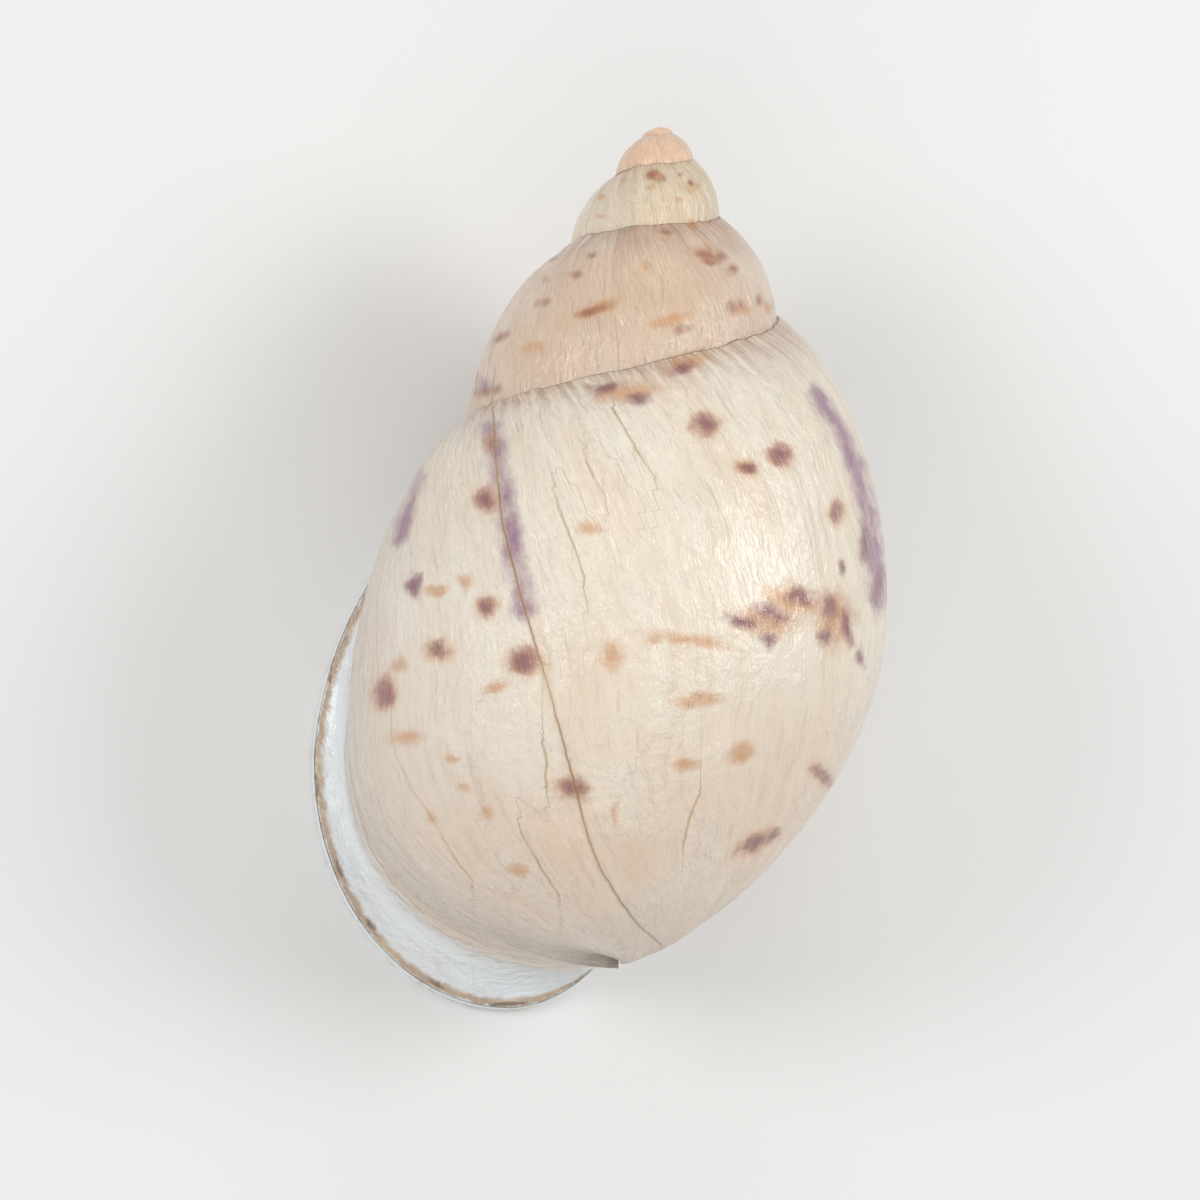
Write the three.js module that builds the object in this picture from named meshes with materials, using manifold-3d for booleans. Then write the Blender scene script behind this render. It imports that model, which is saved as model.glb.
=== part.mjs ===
// Shell of a large land snail, dextral, lying on its mouth with the apex towards +Y.
// The shell is one grown piece: a tube wound round a pillar, widening to a flared lip.
// Azimuths are counted along the growth, 0 at the middle of the back, more than 0 towards the lip.
import * as THREE from 'three';
import { mergeVertices } from 'three/addons/utils/BufferGeometryUtils.js';
import Module from 'manifold-3d';

const wasm = await Module();
wasm.setup();

// Driving dimensions in millimetres and degrees
const FIRST_STATION = -1530;
const HALF_TURN = 180;
const FULL_TURN = 360;
// The seam between whorls every half turn from the apex: distance from the axis, distance below the apex.
// The last three stations are where the seam would run if the shell had grown on.
const SEAM_RADIUS = [0.02, 0.3, 0.7, 1.4, 2.4, 3.3, 4.6, 6.4, 9.1, 13.5, 18.1, 20.8, 22];
const SEAM_DEPTH = [0, 0.1, 0.3, 0.7, 2.0, 3.35, 5.85, 8.6, 13.0, 22.1, 32.1, 40.25, 47.4];
// A whorl's upper wall is an ellipse arc that starts at the seam and meets the next seam near its widest place.
const SHOULDER_ANGLE_EARLY = 33;
const SHOULDER_ANGLE_LATE = 20;
const NEXT_SEAM_WIDTH_SHARE = 0.985;
const NEXT_SEAM_DEPTH_SHARE = 0.85;
// The base under the widest place: its depth over the whorl's radius, and how full its curve is.
const BASE_DEPTH_EARLY = 1.28;
const BASE_DEPTH_LATE = 0.84;
const BASE_FULLNESS_EARLY = 1.7;
const BASE_FULLNESS_LATE = 2.35;

const WALL = 0.9;
const EARLY_WALL = 0.6;
const HOLLOW_FROM = -570;
const PILLAR_RADIUS = 1.1;
const HUB_RADIUS = 0.12;
const CORE_RADIUS = 0.3;
const SEAM_TUCK = 0.12;
const SEAM_WALL = 0.65;
const TONGUE_LENGTH = 6;
const TONGUE_SHARE = 0.35;
const APEX_DOME_RADIUS = 0.8;
const APEX_DOME_RISE = 0.45;

// How the shell lies: rolled towards its lip, apex raised, and the table this far under the apex's own level.
const ROLL = 12;
const APEX_RAISE = 10;
const TABLE_DROP = 20.8;
const REST_CUT = 0.12;
const MIDDLE_X = -1.78;
const MIDDLE_Y = -31.37;

// The lip is an egg in the table's plane, joined to the tube by a bell-shaped flare.
const LIP_X = -6.8;
const LIP_Y = -44.75;
const LIP_LEFT = 14.5;
const LIP_RIGHT = 11.8;
const LIP_DOWN = 17.85;
const LIP_UP = 21.7;
const LIP_POINTED = 1.12;
const LIP_THICKNESS = 1.2;
const LIP_BULGE = 0.25;
const LIP_INSET = 0.3;
const INNER_LIP_WIDTH = 1.6;
const FLARE_START = 98;
const FLARE_LEAD_AT_SEAM = 38;
const FLARE_LEAD_AT_PILLAR = 0;
const FLARE_GROWTH = 36;
const FLARE_PULL = 1.0;
const INNER_FLARE_PULL = 0.35;
const MOUTH_START = 30;
// Where the lip meets the belly of the last whorl: the belly's contact point and its two radii.
const BELLY_Y = -31.3;
const BELLY_RADIUS_X = 15.5;
const BELLY_RADIUS_Y = 27;
const LIP_CORNER = 0.6;
const LIP_RETURN_END = 0.96;

const STEP = 12;
const PROFILE_STOPS = [0, 0.07, 0.15, 0.24, 0.34, 0.43, 0.5, 0.6, 0.7, 0.8, 0.88, 0.95];
const RETURN_STOPS = [0, 0.12, 0.24, 0.36, 0.5, 0.65, 0.82, 1];
const MOUTH_ROWS = 6;
const FLARE_ROWS = 5;
const MERGE = 0.002;
const LAST_MERGE = 0.001;
const PART_TOUCHING = 0.01;

const radians = (degrees) => (degrees * Math.PI) / 180;
const mix = (a, b, share) => a + (b - a) * share;

// Cubic ease from 0 at "from" to 1 at "to".
function ease(value, from, to) {
  const t = Math.min(Math.max((value - from) / (to - from), 0), 1);
  return t * t * (3 - 2 * t);
}

// Smooth curve through the half-turn stations (uniform Catmull-Rom).
function station(values, azimuth) {
  const x = (azimuth - FIRST_STATION) / HALF_TURN;
  const i = Math.min(Math.max(Math.floor(x), 0), values.length - 2);
  const f = Math.min(Math.max(x - i, 0), 1);
  const at = (k) => values[Math.min(Math.max(k, 0), values.length - 1)];
  const [a, b, c, d] = [at(i - 1), at(i), at(i + 1), at(i + 2)];
  return 0.5 * (2 * b + (c - a) * f + (2 * a - 5 * b + 4 * c - d) * f * f + (3 * b - a - 3 * c + d) * f ** 3);
}

// Outside of a whorl in the half plane at an azimuth. v runs 0 at the seam, 0.5 at the widest place, 1 on the axis.
function profile(azimuth, v) {
  const seam = { r: station(SEAM_RADIUS, azimuth), z: station(SEAM_DEPTH, azimuth) };
  const next = { r: station(SEAM_RADIUS, azimuth + FULL_TURN), z: station(SEAM_DEPTH, azimuth + FULL_TURN) };
  const wide = {
    r: seam.r + (next.r - seam.r) / NEXT_SEAM_WIDTH_SHARE,
    z: seam.z + (next.z - seam.z) / NEXT_SEAM_DEPTH_SHARE,
  };
  if (v < 0.5) {
    const start = radians(mix(SHOULDER_ANGLE_EARLY, SHOULDER_ANGLE_LATE, ease(azimuth, -450, -120)));
    const u = mix(start, Math.PI / 2, v / 0.5);
    const reach = (wide.r - seam.r) / (1 - Math.sin(start));
    const drop = (wide.z - seam.z) / Math.cos(start);
    return { r: wide.r - reach * (1 - Math.sin(u)), z: wide.z - drop * Math.cos(u) };
  }
  const depth = wide.r * mix(BASE_DEPTH_EARLY, BASE_DEPTH_LATE, ease(azimuth, -90, 95));
  const fullness = mix(BASE_FULLNESS_EARLY, BASE_FULLNESS_LATE, ease(azimuth, -60, 90));
  const w = (Math.PI / 2) * ((v - 0.5) / 0.5);
  return {
    r: wide.r * Math.max(Math.cos(w), 0) ** (2 / fullness),
    z: wide.z + depth * Math.sin(w) ** (2 / fullness),
  };
}

// A point of the shell, given round its own axis, set down on the table.
function place(azimuth, r, z) {
  const turn = radians(azimuth + ROLL);
  const raise = radians(APEX_RAISE);
  const out = r * Math.cos(turn);
  return new THREE.Vector3(
    -r * Math.sin(turn) - MIDDLE_X,
    -z * Math.cos(raise) - out * Math.sin(raise) - MIDDLE_Y,
    -z * Math.sin(raise) + out * Math.cos(raise) + TABLE_DROP,
  );
}

const wallAt = (azimuth) => mix(EARLY_WALL, WALL, ease(azimuth, HOLLOW_FROM, -90));
const pillarAt = (azimuth) => mix(0.45, PILLAR_RADIUS, ease(azimuth, HOLLOW_FROM, 0));

// The outside moved into the wall, square to itself, by a share of the wall's thickness.
function wallProfile(azimuth, v, share) {
  const here = profile(azimuth, v);
  const before = profile(azimuth, Math.max(v - 0.004, 0));
  const after = profile(azimuth, Math.min(v + 0.004, 1));
  const dr = after.r - before.r;
  const dz = after.z - before.z;
  const depth = (share * wallAt(azimuth)) / Math.hypot(dr, dz);
  return { r: here.r - depth * dz, z: here.z + depth * dr };
}

// Inside of the wall, kept off the pillar.
function insideProfile(azimuth, v, share = 1) {
  const p = wallProfile(azimuth, v, share);
  return { r: Math.max(p.r, pillarAt(azimuth) * share), z: p.z };
}

// Closed section of the filled whorl, from the hub at the seam's level round the outside and back to the hub.
// A tongue's section lies inside the wall of the stretch that it runs into.
function filledSection(azimuth, tongue) {
  const share = tongue ? TONGUE_SHARE : 0;
  const points = PROFILE_STOPS.map((v) => wallProfile(azimuth, v, share));
  points[0].r -= SEAM_TUCK;
  const base = profile(azimuth, 1).z - share * wallAt(azimuth);
  return [{ r: HUB_RADIUS, z: points[0].z }, ...points, { r: HUB_RADIUS, z: base }];
}

// Closed section of the hollow. It reaches past the filled section's top so that no floor is left there.
function hollowSection(azimuth, tongue) {
  const share = tongue ? 1 - TONGUE_SHARE : 1;
  const top = profile(azimuth, 0);
  const pillar = pillarAt(azimuth) * share;
  const points = PROFILE_STOPS.map((v) => insideProfile(azimuth, v, share));
  return [
    { r: pillar, z: top.z - 1 },
    { r: Math.max(top.r - SEAM_WALL * share, pillar + 0.05), z: top.z - 1 },
    ...points,
    { r: pillar * 0.98, z: profile(azimuth, 1).z - wallAt(azimuth) * share },
  ];
}

// Solid from a geometry, its shared vertices merged.
function toSolid(geometry, tolerance = 1e-5) {
  geometry.deleteAttribute('normal');
  geometry.deleteAttribute('uv');
  const merged = mergeVertices(geometry, tolerance);
  return new wasm.Manifold(new wasm.Mesh({
    numProp: 3,
    vertProperties: new Float32Array(merged.attributes.position.array),
    triVerts: new Uint32Array(merged.index.array),
  }));
}

// Area of a flat outline, more than 0 when it runs anticlockwise.
const outlineArea = (outline) => THREE.ShapeUtils.area(outline);

// Triangles over a closed outline, in the order of its points or against it.
function capTriangles(outline, offset, withOrder) {
  const order = Math.sign(outlineArea(outline));
  return THREE.ShapeUtils.triangulateShape(outline, []).flatMap(([a, b, c]) => {
    const follows = Math.sign(outlineArea([outline[a], outline[b], outline[c]])) === order;
    return follows === withOrder ? [offset + a, offset + b, offset + c] : [offset + a, offset + c, offset + b];
  });
}

// Solid between rows of points with the same count, capped at both ends over flat outlines.
function sweep(rows, startOutline, endOutline) {
  const count = rows[0].length;
  const index = [];
  for (let i = 0; i + 1 < rows.length; i += 1) {
    for (let j = 0; j < count; j += 1) {
      const a = i * count + j;
      const b = i * count + ((j + 1) % count);
      index.push(a, b, b + count, a, b + count, a + count);
    }
  }
  index.push(...capTriangles(startOutline, 0, false));
  index.push(...capTriangles(endOutline, (rows.length - 1) * count, true));
  const points = rows.flat();
  let volume = 0;
  for (let k = 0; k < index.length; k += 3) {
    volume += points[index[k]].dot(new THREE.Vector3().crossVectors(points[index[k + 1]], points[index[k + 2]]));
  }
  if (volume < 0) index.reverse();
  const geometry = new THREE.BufferGeometry();
  geometry.setAttribute('position', new THREE.Float32BufferAttribute(points.flatMap((p) => p.toArray()), 3));
  geometry.setIndex(index);
  return toSolid(geometry);
}

const flat = (section) => section.map((p) => new THREE.Vector2(p.r, p.z));
const flatPlaced = (row) => row.map((p) => new THREE.Vector2(p.x, p.y));

// A stretch of tube from one azimuth to another, its sections square to the growth.
// Its end carries a thinner tongue that runs into the wall of the next stretch.
function stretch(section, from, to) {
  const rows = [];
  for (let azimuth = from; azimuth <= to; azimuth += STEP) {
    rows.push(section(azimuth, false).map((p) => place(azimuth, p.r, p.z)));
  }
  const tip = to + TONGUE_LENGTH;
  rows.push(section(tip, true).map((p) => place(tip, p.r, p.z)));
  return sweep(rows, flat(section(from, false)), flat(section(tip, true)));
}

// Point of the lip's egg. q runs 0 at the seam, 0.25 at the left, 0.5 at the bottom, 0.75 at the right.
function egg(q, outward) {
  const turn = 2 * Math.PI * q;
  const pointed = Math.cos(turn) > 0 ? LIP_POINTED : 1;
  const across = -Math.sign(Math.sin(turn)) * Math.abs(Math.sin(turn)) ** pointed;
  const along = Math.sign(Math.cos(turn)) * Math.abs(Math.cos(turn)) ** pointed;
  const x = LIP_X + across * (across < 0 ? LIP_LEFT : LIP_RIGHT);
  const y = LIP_Y + along * (along < 0 ? LIP_DOWN : LIP_UP);
  return { x: x + across * outward, y: y + along * outward };
}

// Height of the belly of the last whorl over the table.
const bellyHeight = (x, y) => x ** 2 / (2 * BELLY_RADIUS_X) + (y - BELLY_Y) ** 2 / (2 * BELLY_RADIUS_Y);

// How much of the lip at q is free: 1 in the table's plane, 0 where it lies in the belly.
const freeLip = (q) => ease(q, 0, 0.06) * (1 - ease(q, 0.72, 0.84));

// Point of the lip, free in the table's plane and sunk in the belly near the seam.
function lipPoint(q, outward, height, sunk) {
  const { x, y } = egg(q, outward);
  const z = mix(bellyHeight(x, y) + sunk, height, freeLip(q));
  return new THREE.Vector3(x - MIDDLE_X, y - MIDDLE_Y, z);
}

// Where the tube ends and the flare begins: ahead at the seam and at the pillar.
function flareStart(v) {
  if (v < 0.5) return FLARE_START + FLARE_LEAD_AT_SEAM * (1 - v / 0.5) ** 1.5;
  return FLARE_START + FLARE_LEAD_AT_PILLAR * ((v - 0.5) / 0.5) ** 2;
}

const lipShareOutside = (v) => (v < 0.5 ? v / 2 : mix(0.25, LIP_CORNER, (v - 0.5) / 0.5));
const lipShareReturn = (s) => mix(LIP_CORNER, LIP_RETURN_END, s);

// Cubic from a point of the tube, leaving along the growth, to a point of the lip, arriving outwards.
function flarePoint(start, growth, end, outward, t) {
  return new THREE.Vector3()
    .addScaledVector(start, 2 * t ** 3 - 3 * t ** 2 + 1)
    .addScaledVector(growth, t ** 3 - 2 * t ** 2 + t)
    .addScaledVector(end, 3 * t ** 2 - 2 * t ** 3)
    .addScaledVector(outward, t ** 3 - t ** 2);
}

// Rows of the mouth piece. Each guide gives a point of the tube at an azimuth and a point of the lip.
function mouthRows(guides, rims) {
  const rows = [];
  for (let i = 0; i <= MOUTH_ROWS; i += 1) {
    rows.push(guides.map((g) => g.tube(mix(MOUTH_START, g.end, i / MOUTH_ROWS))));
  }
  for (let k = 1; k <= FLARE_ROWS; k += 1) {
    rows.push(guides.map((g) => {
      const start = g.tube(g.end);
      const end = g.lip(0);
      const reach = start.distanceTo(end);
      const growth = g.tube(g.end + FLARE_GROWTH / 2).sub(g.tube(g.end - FLARE_GROWTH / 2)).clampLength(0, reach);
      const away = g.lip(0).sub(new THREE.Vector3(LIP_X - MIDDLE_X, LIP_Y - MIDDLE_Y, end.z));
      return flarePoint(start, growth, end, away.setLength(reach * g.pull), k / FLARE_ROWS);
    }));
  }
  for (let rim = 1; rim < rims; rim += 1) rows.push(guides.map((g) => g.lip(rim)));
  return rows;
}

// The mouth piece filled: outside wall, pillar side, rounded rim, and a cap under the table.
function filledMouth() {
  const rim = [
    { out: 0, height: LIP_THICKNESS },
    { out: LIP_BULGE, height: LIP_THICKNESS / 2 },
    { out: 0, height: -0.5 },
  ];
  const outside = PROFILE_STOPS.map((v) => ({
    end: flareStart(v),
    pull: FLARE_PULL,
    tube: (azimuth) => {
      const p = profile(azimuth, v);
      return place(azimuth, v === 0 ? p.r - SEAM_TUCK : p.r, p.z);
    },
    lip: (k) => lipPoint(lipShareOutside(v), rim[k].out, rim[k].height, 0.15 - 0.05 * k),
  }));
  const inside = RETURN_STOPS.map((s) => ({
    end: flareStart(1),
    pull: INNER_FLARE_PULL,
    tube: (azimuth) => place(azimuth, HUB_RADIUS, mix(profile(azimuth, 1).z, profile(azimuth, 0).z, s)),
    lip: (k) => lipPoint(lipShareReturn(s), rim[k].out, rim[k].height, 0.9 - 0.05 * k),
  }));
  const rows = mouthRows([...outside, ...inside], rim.length);
  const first = [
    ...PROFILE_STOPS.map((v) => profile(MOUTH_START, v)),
    ...RETURN_STOPS.map((s) => ({
      r: HUB_RADIUS,
      z: mix(profile(MOUTH_START, 1).z, profile(MOUTH_START, 0).z, s),
    })),
  ];
  return sweep(rows, flat(first), flatPlaced(rows.at(-1)));
}

// The hollow of the mouth piece. On the belly's side it reaches past the filled piece, so no film is left.
function hollowMouth() {
  const hub = (s) => mix(pillarAt(MOUTH_START), -0.6, ease(s, 0.35, 0.6));
  const ceiling = (azimuth) => profile(azimuth, 0).z - 1;
  const floor = (azimuth) => profile(azimuth, 1).z - wallAt(azimuth);
  const heights = [0, -1];
  const outside = PROFILE_STOPS.map((v) => ({
    end: flareStart(v),
    pull: FLARE_PULL,
    tube: (azimuth) => {
      const p = insideProfile(azimuth, v);
      return place(azimuth, p.r, p.z);
    },
    lip: (k) => lipPoint(lipShareOutside(v), -LIP_INSET - 0.5 * (1 - freeLip(lipShareOutside(v))), heights[k], -0.3 - k),
  }));
  const inside = RETURN_STOPS.map((s) => {
    const q = lipShareReturn(s);
    return {
      end: flareStart(1),
      pull: INNER_FLARE_PULL,
      tube: (azimuth) => place(azimuth, hub(s), mix(floor(azimuth), ceiling(azimuth), s)),
      lip: (k) => lipPoint(q, mix(1, -INNER_LIP_WIDTH, freeLip(q)), heights[k], -1 - k),
    };
  });
  const notch = {
    end: flareStart(0),
    pull: INNER_FLARE_PULL,
    tube: (azimuth) => place(azimuth, profile(azimuth, 0).r - SEAM_WALL, ceiling(azimuth)),
    lip: (k) => lipPoint(0, 0.6, 0, 1.2 - k).add(new THREE.Vector3(0.6, 0, 0)),
  };
  const rows = mouthRows([...outside, ...inside, notch], heights.length);
  const first = [
    ...PROFILE_STOPS.map((v) => insideProfile(MOUTH_START, v)),
    ...RETURN_STOPS.map((s) => ({ r: hub(s), z: mix(floor(MOUTH_START), ceiling(MOUTH_START), s) })),
    { r: profile(MOUTH_START, 0).r - SEAM_WALL, z: ceiling(MOUTH_START) },
  ];
  return sweep(rows, flat(first), flatPlaced(rows.at(-1)));
}

// Smooth dome that closes the top of the first whorl.
function apexDome() {
  const dome = new THREE.SphereGeometry(APEX_DOME_RADIUS, 16, 10);
  dome.scale(1, 1, APEX_DOME_RISE / APEX_DOME_RADIUS);
  dome.rotateX(-Math.PI / 2 + radians(APEX_RAISE));
  const middle = place(0, 0, APEX_DOME_RISE);
  dome.translate(middle.x, middle.y, middle.z);
  return toSolid(dome);
}

// Thin core that fills the hub's bore from the dome down to the base.
function core() {
  const top = 0.5;
  const bottom = profile(0, 1).z - 2;
  const rod = new THREE.CylinderGeometry(CORE_RADIUS, CORE_RADIUS, bottom - top, 10);
  rod.rotateX(radians(APEX_RAISE));
  const middle = place(0, 0, (top + bottom) / 2);
  rod.translate(middle.x, middle.y, middle.z);
  return toSolid(rod);
}

// Everything under the table's plane, for the flat spots that the shell rests on.
function underTable() {
  const depth = 10;
  const block = new THREE.BoxGeometry(120, 160, depth);
  block.translate(0, 0, REST_CUT - depth / 2);
  return toSolid(block);
}

// The body itself, without the crumbs left where the thin edge of the lip runs into the belly.
function mainBody(solid) {
  return solid.decompose().reduce((a, b) => (a.volume() > b.volume() ? a : b));
}

// All whorls, each stretch less than a turn and overlapping the one before by a step.
function buildShell() {
  let shell = apexDome().add(core());
  const stretches = [[-1350, -1146], [-1146, -954], [-954, -762], [-762, -570]];
  for (const [from, to] of stretches) shell = shell.add(stretch(filledSection, from, to));
  const hollowed = [[-570, -282], [-282, 30]];
  for (const [from, to] of hollowed) {
    const wall = stretch(filledSection, from, to).subtract(stretch(hollowSection, from, to));
    shell = shell.add(wall);
  }
  shell = shell.add(filledMouth().subtract(hollowMouth()));
  const cut = mainBody(shell.subtract(underTable())).translate([0, 0, -REST_CUT]);
  return mainBody(toSolid(toGeometry(cut), MERGE));
}

function toGeometry(solid) {
  const mesh = solid.getMesh();
  const geometry = new THREE.BufferGeometry();
  geometry.setAttribute('position', new THREE.BufferAttribute(new Float32Array(mesh.vertProperties), 3));
  geometry.setIndex(new THREE.BufferAttribute(new Uint32Array(mesh.triVerts), 1));
  geometry.computeVertexNormals();
  return geometry;
}

// Where two sheets only touch, their shared corners are drawn apart a little, each into its own wall.
function partTouching(geometry) {
  const position = geometry.attributes.position;
  const normal = geometry.attributes.normal;
  const corners = new Map();
  for (let i = 0; i < position.count; i += 1) {
    const key = [position.getX(i), position.getY(i), position.getZ(i)].map((c) => Math.round(c / MERGE)).join();
    corners.set(key, [...(corners.get(key) ?? []), i]);
  }
  for (const same of corners.values()) {
    if (same.length < 2) continue;
    for (const i of same) {
      position.setXYZ(
        i,
        position.getX(i) - PART_TOUCHING * normal.getX(i),
        position.getY(i) - PART_TOUCHING * normal.getY(i),
        position.getZ(i) - PART_TOUCHING * normal.getZ(i),
      );
    }
  }
  return geometry;
}

// Pockets that close when the corners are merged are filled.
const body = mainBody(toSolid(partTouching(toGeometry(buildShell())), LAST_MERGE));

const shell = new THREE.Mesh(
  partTouching(toGeometry(body)),
  new THREE.MeshStandardMaterial({ color: 0xe6d8bd, roughness: 0.35, metalness: 0 }),
);
shell.name = 'shell';

const part = new THREE.Group();
part.add(shell);

export default part;
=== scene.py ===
"""Looks of a large land snail shell that lies on its mouth, with its stage, lights and camera."""

import math
from collections import namedtuple

import bpy
import numpy as np
from mathutils import Matrix, Vector


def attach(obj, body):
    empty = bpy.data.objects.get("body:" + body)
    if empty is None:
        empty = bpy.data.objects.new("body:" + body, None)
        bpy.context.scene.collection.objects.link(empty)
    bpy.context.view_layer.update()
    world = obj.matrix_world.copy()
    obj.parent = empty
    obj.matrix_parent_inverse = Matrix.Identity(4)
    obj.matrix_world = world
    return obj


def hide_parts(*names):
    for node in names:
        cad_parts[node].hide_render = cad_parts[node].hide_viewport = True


bl_info = {
    "name": "Snail Shell",
    "version": (1, 0, 0),
    "blender": (4, 5, 0),
    "location": "3D View > Sidebar > Snail Shell",
    "description": "Builds a land snail shell, its stage, lights and camera",
    "category": "Object",
}

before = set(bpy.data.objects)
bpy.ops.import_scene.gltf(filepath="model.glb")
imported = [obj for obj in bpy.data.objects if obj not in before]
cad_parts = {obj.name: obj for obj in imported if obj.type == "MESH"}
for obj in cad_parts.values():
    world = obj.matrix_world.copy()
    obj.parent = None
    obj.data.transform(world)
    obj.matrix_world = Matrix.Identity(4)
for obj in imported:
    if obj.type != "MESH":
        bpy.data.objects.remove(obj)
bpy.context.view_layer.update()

MM = 0.001

# Lengths are in millimetres and angles in degrees, azimuths counted along the growth.
# The seam between whorls, every half turn from the apex: distance from the axis and below the apex.
FIRST_STATION = -1530
HALF_TURN = 180
FULL_TURN = 360
SEAM_RADIUS = np.array([0.02, 0.3, 0.7, 1.4, 2.4, 3.3, 4.6, 6.4, 9.1, 13.5, 18.1, 20.8, 22.0])
SEAM_DEPTH = np.array([0.0, 0.1, 0.3, 0.7, 2.0, 3.35, 5.85, 8.6, 13.0, 22.1, 32.1, 40.25, 47.4])
NEXT_SEAM_WIDTH, NEXT_SEAM_DEPTH = 0.985, 0.85

# Each changes from its early to its late value between two azimuths.
SHOULDER_EARLY, SHOULDER_LATE, SHOULDER_CHANGE = 33, 20, (-450, -120)
BASE_DEPTH_EARLY, BASE_DEPTH_LATE, BASE_DEPTH_CHANGE = 1.28, 0.84, (-90, 95)
BASE_FULL_EARLY, BASE_FULL_LATE, BASE_FULL_CHANGE = 1.7, 2.35, (-60, 90)

# How far growth lines run ahead of their row at the seam: at first, gained later, lost again near the lip
SEAM_LEAD, SEAM_LEAD_GAIN, SEAM_LEAD_LOSS = 22, 20, 4

# How far they lag behind it at the base of early whorls
BASE_LAG = 32

# How the shell lies on the table
ROLL, APEX_RAISE = 12, 10
TABLE_DROP = 20.68
MIDDLE_X, MIDDLE_Y = -1.78, -31.37

# The lip is an egg in the table's plane
LIP_X, LIP_Y = -6.8, -44.75
LIP_LEFT, LIP_RIGHT, LIP_DOWN, LIP_UP = 14.5, 11.8, 17.85, 21.7
LIP_POINTED = 1.12
BELLY_Y, BELLY_RADIUS_X, BELLY_RADIUS_Y = -31.3, 15.5, 27
LIP_CORNER, LIP_RETURN_END = 0.6, 0.96
RIM_BULGE, RING_SINK, EDGE_SINK = 0.16, 0.6, 0.25

# Azimuths of the rows, and the shape of the flare and of the pillar
FIRST_ROW, LAST_WHORL_START, FLARE_START = -1500, -262, 98
FLARE_GROWTH, FLARE_PULL, INNER_FLARE_PULL, PILLAR_FLARE_PULL = 36, 1.0, 0.35, 0.1
PILLAR_RADIUS, HUB_RADIUS = 1.1, 0.12
PILLAR_SHARE = 0.3
SEAM_TUCK = 0.12
PREVIOUS_TIP, PREVIOUS_SEAM = 0.97, 0.4425
HOLLOW_LENGTH = 350
DOME_RADIUS, DOME_RISE = 0.8, 0.45

# Depths of the low relief on the last whorls
WAVE_DEPTH, DENT_DEPTH, REST_GROOVE_DEPTH = 0.12, 0.20, 0.06
FOLD_DEPTH, FOLD_DEPTH_NEAR_LIP = 0.07, 0.20
LEAST_DEPTH = 0.02
PUCKER_REACH = 3.2

# Grid sizes
OUTSIDE_COLUMNS, RETURN_COLUMNS = 132, 26
SPIRE_ROWS, LAST_ROWS, FLARE_ROWS = 190, 250, 26
INNER_FLARE_ROWS, INNER_ROWS = 14, 60

# The photograph's plane: its pixel at the axis, its middle on the shell, and how the camera is turned.
PIXEL = 0.0729
PICTURE_MIDDLE = 600
AIM = np.array([-0.95, -2.66, 14.09])
CAMERA_DISTANCE = 486.0
VIEW_ROLL = 12
VIEW_RAISE = 10
VIEW_LEAN = 2.86
FAR = 99

Spot = namedtuple("Spot", "across down half_width half_height lean")

# Spots as they lie in the photograph's plane, in its pixels
DARK_SPOTS = (
    # second whorl
    Spot(651, 173, 5, 6, 20), Spot(663, 178, 4, 5, 0), Spot(682, 171, 4, 4, 0), Spot(693, 182, 4, 6, 0),
    # whorl before the last
    Spot(664, 229, 9, 4, -5), Spot(706, 250, 10, 9, -25), Spot(712, 260, 9, 6, -20), Spot(724, 254, 7, 8, 0),
    Spot(733, 268, 7, 7, 0), Spot(588, 253, 8, 5, 10), Spot(573, 272, 9, 5, 10), Spot(549, 255, 7, 4, 35),
    Spot(544, 277, 6, 5, 25), Spot(541, 302, 8, 6, 20), Spot(595, 307, 20, 6, 22), Spot(499, 336, 11, 6, 35),
    Spot(472, 376, 6, 7, 20), Spot(476, 392, 6, 6, 10), Spot(494, 389, 8, 5, 15), Spot(738, 304, 9, 9, 0),
    Spot(762, 298, 5, 8, 0), Spot(684, 328, 12, 6, 5),
    # last whorl, under the seam
    Spot(492, 442, 6, 9, 0), Spot(483, 499, 11, 12, 0), Spot(485, 608, 9, 12, 0), Spot(605, 385, 22, 7, 12),
    Spot(640, 396, 14, 8, 5), Spot(683, 366, 12, 7, 8), Spot(706, 423, 14, 13, 0), Spot(749, 466, 9, 8, 0),
    Spot(781, 455, 12, 12, 0), Spot(839, 511, 7, 12, 0),
    # last whorl, round its widest place
    Spot(437, 649, 13, 11, 0), Spot(522, 660, 17, 14, -8), Spot(380, 693, 10, 17, 0),
    Spot(412, 585, 9, 14, 0), Spot(803, 596, 16, 12, 0), Spot(772, 612, 22, 11, -15),
    Spot(832, 606, 10, 16, 0), Spot(850, 625, 8, 22, 8),
    Spot(771, 640, 9, 12, 0), Spot(742, 620, 22, 7, -14), Spot(864, 658, 5, 14, 10), Spot(868, 545, 8, 28, 4),
    Spot(846, 567, 5, 9, 0), Spot(828, 637, 10, 9, 0), Spot(880, 590, 5, 30, -4), Spot(571, 790, 17, 12, 0),
    # last whorl, base
    Spot(826, 778, 7, 18, 38), Spot(760, 845, 26, 7, 28), Spot(775, 838, 12, 5, 30),
)

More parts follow.
